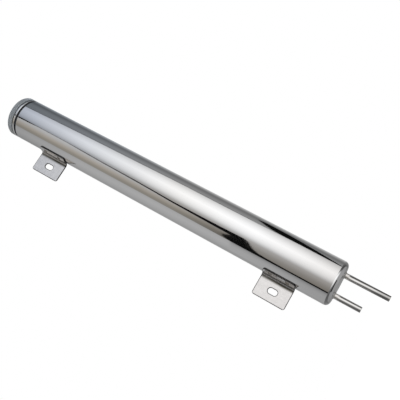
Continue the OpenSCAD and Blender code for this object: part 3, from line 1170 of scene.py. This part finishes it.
def blank_loops(blank, s, width):
    """The outline and the holes of the flat blank, each a list of (point, outward direction)."""
    half = width / 2
    p, g = s.plate_corner, s.leg_corner
    apart = 0.05 * MM
    stations = [u for u in edge_stations(blank) if p < u < blank.length - g - apart]
    outline = round_corner(p, -half + p, p, 180, 270)
    outline += [((u, -half), (0, -1)) for u in stations]
    outline += round_corner(blank.length - g, -half + g, g, 270, 360)
    outline += round_corner(blank.length - g, half - g, g, 0, 90)
    outline += [((u, half), (0, 1)) for u in reversed(stations)]
    outline += round_corner(p, half - p, p, 90, 180)
    slot_u = -AXIS_X - blank.plate_edge
    r = s.slot_width / 2
    reach = s.slot_length / 2 - r
    slot = round_corner(slot_u, reach, r, 0, 180, 24) + round_corner(slot_u, -reach, r, 180, 360, 24)
    holes = [slot]
    spot_u = blank.turn_to_u(spot_turn(blank, s))
    for v in spot_heights():
        holes.append(round_corner(spot_u, v, s.spot / 2, 0, 360, 32)[:-1])
    turned = [[(point, (-n[0], -n[1])) for point, n in reversed(hole)] for hole in holes]
    return outline, turned


def spot_turn(blank, s):
    return (blank.bend_turn + s.leg_wrap) / 2 + s.spot_lead


def spot_heights():
    """Heights of the two weld spots about the slot's own height."""
    r = bpy.context.scene.tank_brackets.spot / 2
    return (SPOTS_LOW.z + r - SLOT_Z, SPOTS_HIGH.z - r - SLOT_Z)


def bracket_surface(s, width):
    """The bracket: both faces of the blank, and a rim round every edge with its burrs eased."""
    blank = Blank(s)
    outline, holes = blank_loops(blank, s, width)
    loops = [outline] + holes
    steps = 3
    quarter = [math.pi / 2 * i / steps for i in range(steps + 1)]
    rim = [(-s.ease + s.ease * math.sin(a), s.ease - s.ease * math.cos(a), a) for a in quarter]
    rim += [(out, s.sheet - w, math.pi - a) for out, w, a in reversed(rim)]
    surface = Surface()
    faces = [[], []]
    for loop in loops:
        rows = []
        for out, w, a in rim:
            spots = [(u + nu * out, v + nv * out, w) for (u, v), (nu, nv) in loop]
            rows.append(surface.add_verts([blank.place(*spot) for spot in spots], spots))
        flat = [(u - nu * s.ease, v - nv * s.ease) for (u, v), (nu, nv) in loop]
        faces[0].append((rows[0], flat))
        faces[1].append((rows[-1], flat))
        for (low, high), (first, second) in zip(zip(rows, rows[1:]), zip(rim, rim[1:])):
            rim_band(surface, blank, loop, low, high, first[2], second[2])
    inner = inner_points(blank, s, width, holes)
    sheet_face(surface, blank, faces[0], inner, 0, 1)
    sheet_face(surface, blank, faces[1], inner, s.sheet, -1)
    return surface


def rim_band(surface, blank, loop, low, high, a0, a1):
    """One strip of the rim between two rows; a is the turn of its normal from the seen face to the back."""
    count = len(loop)
    for k in range(count):
        j = (k + 1) % count
        corners = ((low[k], k, a0), (high[k], k, a1), (high[j], j, a1), (low[j], j, a0))
        normals = []
        for _, i, a in corners:
            (u, _v), (nu, nv) = loop[i]
            normals.append(blank.direction(u, nu * math.sin(a), nv * math.sin(a), math.cos(a)))
        surface.add_face([c[0] for c in corners], normals)


def inner_points(blank, s, width, holes):
    """Points inside the blank, so that its faces follow the bend and the leg."""
    margin, spacing = 1.2 * MM, 3.6 * MM
    spot_room = s.spot / 2 + 0.4 * MM
    half = width / 2
    mids = [hole_mid(hole) for hole in holes[1:]]
    points = []
    for u in edge_stations(blank):
        for v in steps_between(-half + margin, half - margin, spacing):
            near_tip = u > blank.length - margin
            near_corner = u > blank.length - s.leg_corner and abs(v) > half - s.leg_corner
            near_spot = any(math.hypot(u - mid_u, v - mid_v) < spot_room for mid_u, mid_v in mids)
            if not (near_tip or near_corner or near_spot):
                points.append((u, v))
    return points


def hole_mid(hole):
    us = [point[0] for point, _ in hole]
    vs = [point[1] for point, _ in hole]
    return (min(us) + max(us)) / 2, (min(vs) + max(vs)) / 2


def inside(point, ring):
    """Whether a flat point lies within a ring of points."""
    u, v = point
    odd = False
    for (u0, v0), (u1, v1) in zip(ring, ring[1:] + ring[:1]):
        if (v0 > v) != (v1 > v) and u < (u1 - u0) * (v - v0) / (v1 - v0) + u0:
            odd = not odd
    return odd


def sheet_face(surface, blank, rings, inner, w, up):
    """One face of the sheet, filled between its outline and its holes and bent with it."""
    spots = [(u, v, w) for u, v in inner]
    verts = [vert for row, _ in rings for vert in row]
    verts += surface.add_verts([blank.place(*spot) for spot in spots], spots)
    flat = [point for _, points in rings for point in points] + inner

    def in_hole(mid):
        return any(inside(tuple(mid), points) for _, points in rings[1:])

    for face in filled(flat, [len(row) for row, _ in rings], in_hole):
        if up < 0:
            face.reverse()
        normals = [blank.direction(flat[i][0], 0, 0, up) for i in face]
        surface.add_face([verts[i] for i in face], normals)


def spot_surface(s):
    """A weld spot: a low button with a ripple ring and a small crater, sunk in its hole."""
    r = s.spot / 2
    face = -s.spot_sink
    bite = 0.1 * MM
    shoulder, lip = 0.12 * MM, 0.35 * MM
    back = -s.sheet - bite
    line = Outline(0, back).line(r, back).line(r, face - shoulder)
    line.arc((r - lip, face - shoulder), lip, 0, 80, 5)
    ripples = (
        (0.72, -0.02), (0.6, 0.05), (0.48, -0.03), (0.34, 0.06), (0.2, -0.1), (0.08, -0.14), (0, -0.15),
    )
    for share_of_r, lift in ripples:
        line.line(r * share_of_r, face + lift * MM)
    surface = Surface()
    surface.revolve(line, 48)
    return surface


class TANK_OT_brackets(Operator):
    """Makes both slotted brackets and their weld spots"""

    bl_idname = "tank.brackets"
    bl_label = "Slotted Brackets"

    def execute(self, context):
        s = context.scene.tank_brackets
        brushed, weld = finish_of("brushed_sheet"), finish_of("weld_metal")
        width = PLATE_HIGH.z - PLATE_LOW.z
        blank = Blank(s)
        turn = spot_turn(blank, s)
        outward = Matrix.Rotation(math.pi + turn, 4, "Z") @ Matrix.Rotation(math.pi / 2, 4, "Y")
        for side, z in (("upper", UPPER_SLOT_Z), ("lower", SLOT_Z)):
            place = Matrix.Translation((AXIS_X, AXIS_Y, z))
            make_piece(
                f"{side}_slotted_bracket",
                bracket_surface(s, width),
                "tank",
                [f"{side}_bracket"],
                "brushed_sheet",
                brushed,
                place,
            )
            spots = Surface()
            for v in spot_heights():
                spot = spot_surface(s)
                stand = Matrix.Translation((0, 0, v)) @ outward @ Matrix.Translation((0, 0, blank.leg_r))
                first = len(spots.verts)
                spots.add_verts([stand @ Vector(p) for p in spot.verts])
                spots.faces += [tuple(first + i for i in face) for face in spot.faces]
            make_piece(
                f"{side}_weld_spots",
                spots,
                "tank",
                [f"{side}_bracket_welds"],
                "weld_metal",
                weld,
                place,
                crease=40,
            )
        return {"FINISHED"}


# The studio: a light tent that only the metal sees, soft lamps, a pale floor and the camera


TENT_FOOT, TENT_TOP = -0.318, 2.6
TENT_LAYER = 0.01
TENT_COLUMNS = 48
TURNS = (-180, 180)
HEIGHTS = (-0.5, 2.5)
STAGE_SEGMENTS = 96


def edge_at(edge, z):
    """The turn of a slanting edge at a height, from its corners (height, turn)."""
    for (z0, a), (z1, b) in zip(edge, edge[1:]):
        if z <= z1:
            return a + (b - a) * max((z - z0) / (z1 - z0), 0)
    return edge[-1][1]


def between(first, last):
    """Rows of a sheet that hangs between two slanting edges."""
    heights = sorted({z for z, _ in first + last})
    return [(z, edge_at(first, z), edge_at(last, z)) for z in heights]


# In the tables, turns are degrees round the tank's axis from the front (-Y) towards +X, heights are metres
# and levels are picture levels of 0 to 255

# The two slanting edges of the soft box, each a row of corners (height, turn)
BOX_FOOT = (
    (TENT_FOOT, -65), (0.07, -65), (0.1, -62), (0.12, -56), (0.14, -40), (0.16, -27), (0.25, -30),
    (0.42, -31.5), (0.5, -28.5), (0.6, -26.2), (0.72, -25), (0.79, -22), (0.9, -19.7), (TENT_TOP, -18.5),
)
BOX_TOP = (
    (TENT_FOOT, 77), (-0.16, 78.5), (0.0, 79.5), (0.1, 76), (0.25, 74), (0.42, 73.5), (0.6, 68), (0.8, 62.5),
    (0.95, 57), (1.08, 51), (TENT_TOP, 51),
)
WALL_HEIGHTS = (TENT_FOOT, 0.2, 0.7, 1.3, TENT_TOP)

# The glowing cloths from the back forwards: layers inward, rows (height, first turn, last turn), levels round
# the tent (turn, level) and up its wall (height, level)
CLOTHS = {
    "tent_wall_left": (
        0,
        [(z, -180, 0) for z in WALL_HEIGHTS],
        [(-180, 160), (-150, 142), (-130, 154), (-98, 165), (-84, 163), (-72, 156), (0, 156)],
        [(-0.5, 250), (0.4, 255), (0.8, 250), (1.1, 231), (2.5, 200)],
    ),
    "tent_wall_right": (
        0,
        [(z, 0, 180) for z in WALL_HEIGHTS],
        [
            (0, 130), (60, 132), (80, 134), (92, 124), (106, 106), (116, 114), (132, 152), (150, 186),
            (180, 160),
        ],
        [(-0.5, 255), (0.4, 255), (0.8, (226, 232, 240)), (1.1, (196, 205, 214)), (2.5, (170, 178, 188))],
    ),
    "tent_low_left": (
        1,
        [(TENT_FOOT, -130, -70), (0.2, -130, -70)],
        [(-130, 158), (-98, 158), (-84, 150), (-73, 126)],
        [(-0.3, 236), (-0.1, 240), (0.06, 250), (0.18, 255)],
    ),
    "ground_panel": (
        1,
        [(0.14, -73.5, -15), (TENT_TOP, -73.5, -15)],
        [(-74, (131, 128, 122)), (-62, (136, 131, 122)), (-48, (158, 152, 144)), (-30, 172), (-18, 170)],
        [(0.2, 185), (0.26, 205), (0.42, 245), (0.7, 255), (0.95, 255), (1.1, 242), (2.5, 220)],
    ),
    "soft_box": (
        2,
        between(BOX_FOOT, BOX_TOP),
        [
            (-64, (120, 116, 110)), (-45, (137, 134, 130)), (-24, (162, 160, 158)), (-17, 187), (-9, 214),
            (0, 231), (12, 244), (28, 254), (45, 241), (60, 222), (78, 192),
        ],
        [
            (-0.5, 225), (-0.12, (240, 238, 236)), (0.15, 255), (0.42, (248, 247, 245)),
            (0.8, (216, 219, 224)), (1.1, (174, 180, 191)), (2.5, 130),
        ],
    ),
}

# The dark flags in front of the cloths: rows (height, first turn, last turn)
FLAG_LAYER = 3
SEAM_FOOT, SEAM_WIDTH = 0.12, 2.2
FLAGS = {
    "flag_edge": [
        (0.16, -44, -27), (0.22, -43, -29), (0.25, -43, -30), (0.32, -41.5, -31), (0.42, -39, -31.5),
        (0.5, -34.5, -28.5), (0.6, -30.8, -26.2), (0.72, -28, -25), (0.79, -25.5, -22), (0.86, -21.8, -20.2),
        (1.0, -21, -19.6), (1.05, -24, -18.8), (1.12, -27, -18.3), (TENT_TOP, -28, -18.3),
    ],
    "flag_corner": [
        (0.08, -72.6, -62.5), (0.1, -73, -60.5), (0.115, -73.2, -55), (0.13, -73.4, -43), (0.142, -73.5, -32),
        (0.155, -73.5, -27.5), (0.19, -73.5, -28.5), (0.205, -72, -44), (0.22, -69, -53), (0.228, -66, -56),
    ],
    "flag_foot": [(TENT_FOOT, -71, -65), (-0.16, -72, -64.6), (0.0, -72, -64.6), (0.08, -72.6, -62.5)],
    "flag_wedge": [
        (-0.14, 78.3, 81), (-0.09, 78.5, 90), (-0.05, 79, 97), (0.0, 79.5, 104), (0.05, 79, 109),
        (0.1, 82, 111), (0.125, 90, 111), (0.15, 101, 105),
    ],
}
FLAG_LEVEL, SEAM_LEVEL = 14, 50

# The small collar that the pipes mirror, its levels leaning round it
COLLAR_RADIUS = 0.1
COLLAR_ROWS = [(-0.265, *TURNS), (-0.2138, *TURNS)]
COLLAR_LEAN, COLLAR_UPRIGHT = 500, -0.216
COLLAR_ROUND = [
    (-180, 135), (-132, 105), (-100, 88), (-76, 88), (-56, 100), (-45, 130), (-28, 205), (-8, 245), (10, 255),
    (26, 215), (38, 125), (50, 82), (70, 78), (85, 88), (104, 115), (180, 135),
]
COLLAR_UP = [(-0.27, 205), (-0.255, 210), (-0.24, 252), (-0.21, 252)]

# The ground cloth's levels: near the tank, round it and outwards, and far from it, round it
NEAR_ROUND = [
    (-180, 225), (-110, 222), (-70, 226), (-30, 225), (0, 232), (40, 245), (100, 240), (180, 225),
]
NEAR_OUT = [(0, 160), (0.08, 158), (0.13, 150), (0.2, 146), (0.35, 150), (1.2, 160)]
FAR_ROUND = [
    (-180, 160), (-130, 150), (-98, 160), (-73, 150), (-70, 60), (-65, 60), (-62, 128), (-30, 165), (-8, 215),
    (28, 240), (60, 205), (77, 185), (80, 60), (90, 100), (106, 106), (132, 150), (180, 160),
]
NEAR_END, FAR_START = 0.3, 0.6
CLOTH_LIFT = 1.5 * MM

# The dark strip on the ground cloth, in front of the foot
STRIP_TURNS = (-64, 8, 2)
STRIP_RADII = (0.09, 0.165)
STRIP_LEVEL = 22
STRIP_LIFT = 3 * MM

FLOOR_RADIUS = 6.0


def stage_piece(name, surface, material, z=0, mirrored_only=True):
    """Puts a part of the studio on the tank's axis. A part of the tent shows to glossy rays alone."""
    mesh = bpy.data.meshes.new(name)
    mesh.from_pydata(surface.verts, [], surface.faces)
    mesh.materials.append(material)
    piece = bpy.data.objects.new(name, mesh)
    piece.location = (AXIS_X, AXIS_Y, z)
    bpy.context.scene.collection.objects.link(piece)
    if mirrored_only:
        for rays in ("camera", "diffuse", "shadow", "transmission", "volume_scatter"):
            setattr(piece, f"visible_{rays}", False)
    piece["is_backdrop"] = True


def round_line(surface, radius, z, turns):
    """A row of vertices round the axis, at turns in degrees."""
    angles = [math.radians(turn) for turn in turns]
    return surface.add_verts([(radius * math.sin(a), -radius * math.cos(a), z) for a in angles])


def strip_faces(surface, low, high):
    for i in range(len(low) - 1):
        surface.add_face((low[i], high[i], high[i + 1], low[i + 1]), [(0, 0, 1)] * 4)


def tent_sheet(name, rows, radius, material):
    """A stretch of the tent wall, from rows (height, first turn, last turn)."""
    surface = Surface()
    columns = range(TENT_COLUMNS + 1)
    grid = [
        round_line(surface, radius, z, [start + (end - start) * i / TENT_COLUMNS for i in columns])
        for z, start, end in rows
    ]
    for low, high in zip(grid, grid[1:]):
        strip_faces(surface, low, high)
    stage_piece(name, surface, material)


def disc(radius):
    surface = Surface()
    surface.faces.append(tuple(ring_row(surface, radius, 0, STAGE_SEGMENTS)))
    return surface


def light_of(level):
    """The light that a picture level of 0 to 255 stands for."""
    c = level / 255
    return c / 12.92 if c <= 0.04045 else ((c + 0.055) / 1.055) ** 2.4


def ramp(shader, source, span, stops):
    """A colour ramp over a span; each stop is a place in it and a level, or three levels."""
    low, high = span
    node = shader.add("ShaderNodeValToRGB")
    node.color_ramp.interpolation = "LINEAR"
    elements = node.color_ramp.elements
    while len(elements) > 1:
        elements.remove(elements[-1])
    for i, (place, level) in enumerate(stops):
        spot = (place - low) / (high - low)
        element = elements[0] if i == 0 else elements.new(spot)
        element.position = spot
        levels = level if isinstance(level, tuple) else (level,) * 3
        element.color = (*[light_of(x) for x in levels], 1)
    shader.join(shader.spread(source, 0, 1, low, high), node.inputs["Fac"])
    return node.outputs["Color"]


def tent_light(name, round_stops, up_stops, strength, lean=0, upright=0):
    """Glowing cloth: one ramp round the tent, and one up its wall that shades it. The ramp round the tent
    leans by so many degrees for each metre from the height at which it is upright."""
    s = Shader(name)
    z = s.axes()[2]
    turn = s.turn()
    if lean:
        turn = s.math("ADD", turn, s.math("MULTIPLY", s.math("SUBTRACT", z, upright), lean))
    tone = s.blend(1, ramp(s, turn, TURNS, round_stops), ramp(s, z, HEIGHTS, up_stops), "MULTIPLY")
    return s.surface(s.glow(tone, strength))


def dark_cloth(name, level):
    s = Shader(name)
    return s.surface(s.glow((light_of(level),) * 3))


def hang_tent(studio):
    """Walls, panels and flags of the tent, from the back forwards, and the pipes' collar."""
    glow = studio.tent_glow
    for name, (layer, rows, round_stops, up_stops) in CLOTHS.items():
        cloth = tent_light(name, round_stops, up_stops, glow)
        tent_sheet(name, rows, studio.tent_radius - layer * TENT_LAYER, cloth)
    collar = tent_light("pipe_collar", COLLAR_ROUND, COLLAR_UP, glow, COLLAR_LEAN, COLLAR_UPRIGHT)
    tent_sheet("pipe_collar", COLLAR_ROWS, COLLAR_RADIUS, collar)
    front = studio.tent_radius - FLAG_LAYER * TENT_LAYER
    seam = [(SEAM_FOOT, 76, 77)] + [(z, turn, turn + SEAM_WIDTH) for z, turn in BOX_TOP if z > SEAM_FOOT]
    tent_sheet("flag_seam", seam, front, dark_cloth("flag_seam", SEAM_LEVEL))
    black = dark_cloth("flag_black", FLAG_LEVEL)
    for name, rows in FLAGS.items():
        tent_sheet(name, rows, front, black)


def lay_ground_cloth(studio):
    """A grey cloth under the tank that only the metal sees, with a dark strip in front. The rounded foot
    mirrors both, and the tube mirrors the cloth's far part, which carries on the walls' levels."""
    s = Shader("ground_cloth")
    x, y, _z = s.axes()
    turn, away = s.turn(), s.reach(x, y)
    near_span = (0, NEAR_OUT[-1][0])
    near = s.blend(1, ramp(s, turn, TURNS, NEAR_ROUND), ramp(s, away, near_span, NEAR_OUT), "MULTIPLY")
    far = ramp(s, turn, TURNS, FAR_ROUND)
    tone = s.blend(s.spread(away, 0, 1, NEAR_END, FAR_START), near, far)
    cloth = s.surface(s.glow(tone, studio.tent_glow))
    stage_piece("ground_cloth", disc(studio.tent_radius), cloth, studio.floor_z + CLOTH_LIFT)
    strip = Surface()
    turns = steps_between(*STRIP_TURNS)
    inner, outer = (round_line(strip, radius, 0, turns) for radius in STRIP_RADII)
    strip_faces(strip, outer, inner)
    stage_piece("ground_strip", strip, dark_cloth("ground_strip", STRIP_LEVEL), studio.floor_z + STRIP_LIFT)


def floor_material(studio):
    """Pale floor: white to the camera where it is lit, darker where the object's shadow falls."""
    s = Shader("pale_floor")
    plain = s.add("ShaderNodeBsdfDiffuse")
    drift = s.spread(s.noise(3, 3), 0, 1)
    s.join(s.blend(drift, (0.8, 0.8, 0.8), (0.83, 0.83, 0.83)), plain.inputs["Color"])
    both = s.add("ShaderNodeAddShader")
    s.join(plain.outputs[0], both.inputs[0])
    s.join(s.glow((1, 1, 1), studio.floor_glow), both.inputs[1])
    rays = s.add("ShaderNodeLightPath")
    seen = s.math("MAXIMUM", rays.outputs["Is Camera Ray"], rays.outputs["Is Transmission Ray"])
    mix = s.add("ShaderNodeMixShader")
    s.join(seen, mix.inputs[0])
    s.join(plain.outputs[0], mix.inputs[1])
    s.join(both.outputs[0], mix.inputs[2])
    return s.surface(mix.outputs[0])


def lay_floor(studio):
    floor = floor_material(studio)
    stage_piece("floor", disc(FLOOR_RADIUS), floor, studio.floor_z, mirrored_only=False)


def light_world(studio):
    """White where the camera or the metal looks past the tent, and a soft even light on everything else."""
    world = bpy.data.worlds.new("studio")
    bpy.context.scene.world = world
    world.use_nodes = True
    tree = world.node_tree
    tree.nodes.clear()
    out = tree.nodes.new("ShaderNodeOutputWorld")
    rays = tree.nodes.new("ShaderNodeLightPath")
    fill = tree.nodes.new("ShaderNodeBackground")
    fill.inputs["Strength"].default_value = studio.fill_light
    white = tree.nodes.new("ShaderNodeBackground")
    white.inputs["Strength"].default_value = 1
    for node in (fill, white):
        node.inputs["Color"].default_value = (1, 1, 1, 1)
    seen = rays.outputs["Is Camera Ray"]
    for name in ("Is Glossy Ray", "Is Transmission Ray"):
        either = tree.nodes.new("ShaderNodeMath")
        either.operation = "MAXIMUM"
        tree.links.new(seen, either.inputs[0])
        tree.links.new(rays.outputs[name], either.inputs[1])
        seen = either.outputs[0]
    mix = tree.nodes.new("ShaderNodeMixShader")
    tree.links.new(seen, mix.inputs[0])
    tree.links.new(fill.outputs[0], mix.inputs[1])
    tree.links.new(white.outputs[0], mix.inputs[2])
    tree.links.new(mix.outputs[0], out.inputs["Surface"])


# The soft lamps: name, place, width, share of the key lamp's power
LAMPS = (
    ("key_lamp", (-0.9, -1.1, 1.3), 0.9, 1),
    ("fill_lamp", (1.3, -0.8, 0.9), 1.1, 0.5),
    ("back_lamp", (0.2, 1.3, 1.0), 1.1, 0.5),
)


def hang_lamp(name, place, size, power):
    """A soft square lamp that looks at the tank and isn't mirrored in it."""
    light = bpy.data.lights.new(name, "AREA")
    light.size = size
    light.energy = power
    lamp = bpy.data.objects.new(name, light)
    lamp.location = place
    aim = Vector((AXIS_X, AXIS_Y, 0)) - Vector(place)
    lamp.rotation_euler = aim.to_track_quat("-Z", "Y").to_euler()
    lamp.visible_glossy = False
    bpy.context.scene.collection.objects.link(lamp)


def set_camera(studio):
    """The camera of the photograph: the picture's right is the tank's foot, turned by the roll."""
    place, aim = Vector(studio.camera_place), Vector(studio.camera_aim)
    ahead = (aim - place).normalized()
    foot = Vector((0, 0, -1))
    right = (foot - ahead * foot.dot(ahead)).normalized()
    down = ahead.cross(right)
    c, s = math.cos(studio.camera_roll), math.sin(studio.camera_roll)
    across = right * c - down * s
    below = right * s + down * c
    turn = Matrix((across, -below, -ahead)).transposed()
    data = bpy.data.cameras.new("camera")
    data.lens = studio.lens
    data.sensor_width = 36
    data.clip_start = 0.01
    data.clip_end = 50
    camera = bpy.data.objects.new("camera", data)
    camera.matrix_world = Matrix.Translation(place) @ turn.to_4x4()
    bpy.context.scene.collection.objects.link(camera)
    bpy.context.scene.camera = camera


class TANK_OT_stage(Operator):
    """Hangs the light tent, lays the floor, sets the lamps and the camera"""

    bl_idname = "tank.stage"
    bl_label = "Studio"

    def execute(self, context):
        studio = context.scene.tank_studio
        context.scene.view_settings.view_transform = "Standard"
        set_camera(studio)
        hang_tent(studio)
        lay_ground_cloth(studio)
        lay_floor(studio)
        light_world(studio)
        for name, place, size, power_share in LAMPS:
            hang_lamp(name, place, size, studio.lamp_power * power_share)
        return {"FINISHED"}


GROUPS = (
    ("tank_shell", ShellSizes),
    ("tank_pipes", PipeSizes),
    ("tank_neck", NeckSizes),
    ("tank_cap", CapSizes),
    ("tank_brackets", BracketSizes),
    ("tank_finish", FinishColours),
    ("tank_studio", StudioSettings),
)
OPERATORS = (
    TANK_OT_stage,
    TANK_OT_shell,
    TANK_OT_pipes,
    TANK_OT_neck,
    TANK_OT_gasket,
    TANK_OT_cap,
    TANK_OT_brackets,
)


class VIEW3D_PT_tank(Panel):
    """The tank's operators and sizes in the sidebar"""

    bl_label = "Coolant Overflow Tank"
    bl_idname = "VIEW3D_PT_tank"
    bl_space_type = "VIEW_3D"
    bl_region_type = "UI"
    bl_category = "Tank"

    def draw(self, context):
        layout = self.layout
        for operator in OPERATORS:
            layout.operator(operator.bl_idname)
        for name, group in GROUPS:
            box = layout.box()
            box.label(text=name.replace("_", " ").capitalize())
            for key in group.__annotations__:
                box.prop(getattr(context.scene, name), key)


def register():
    for name, group in GROUPS:
        bpy.utils.register_class(group)
        setattr(bpy.types.Scene, name, PointerProperty(type=group))
    for cls in (*OPERATORS, VIEW3D_PT_tank):
        bpy.utils.register_class(cls)


def unregister():
    for cls in (VIEW3D_PT_tank, *reversed(OPERATORS)):
        bpy.utils.unregister_class(cls)
    for name, group in reversed(GROUPS):
        delattr(bpy.types.Scene, name)
        bpy.utils.unregister_class(group)


def corners(bounds):
    return [list(corner) for corner in bounds]


def main():
    register()
    sizes = {"cad": corners(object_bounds())}
    bpy.ops.tank.stage()
    bpy.ops.tank.shell()
    bpy.ops.tank.pipes()
    bpy.ops.tank.neck()
    bpy.ops.tank.gasket()
    bpy.ops.tank.cap()
    bpy.ops.tank.brackets()
    sizes["visual"] = corners(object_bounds())


if __name__ == "__main__":
    main()
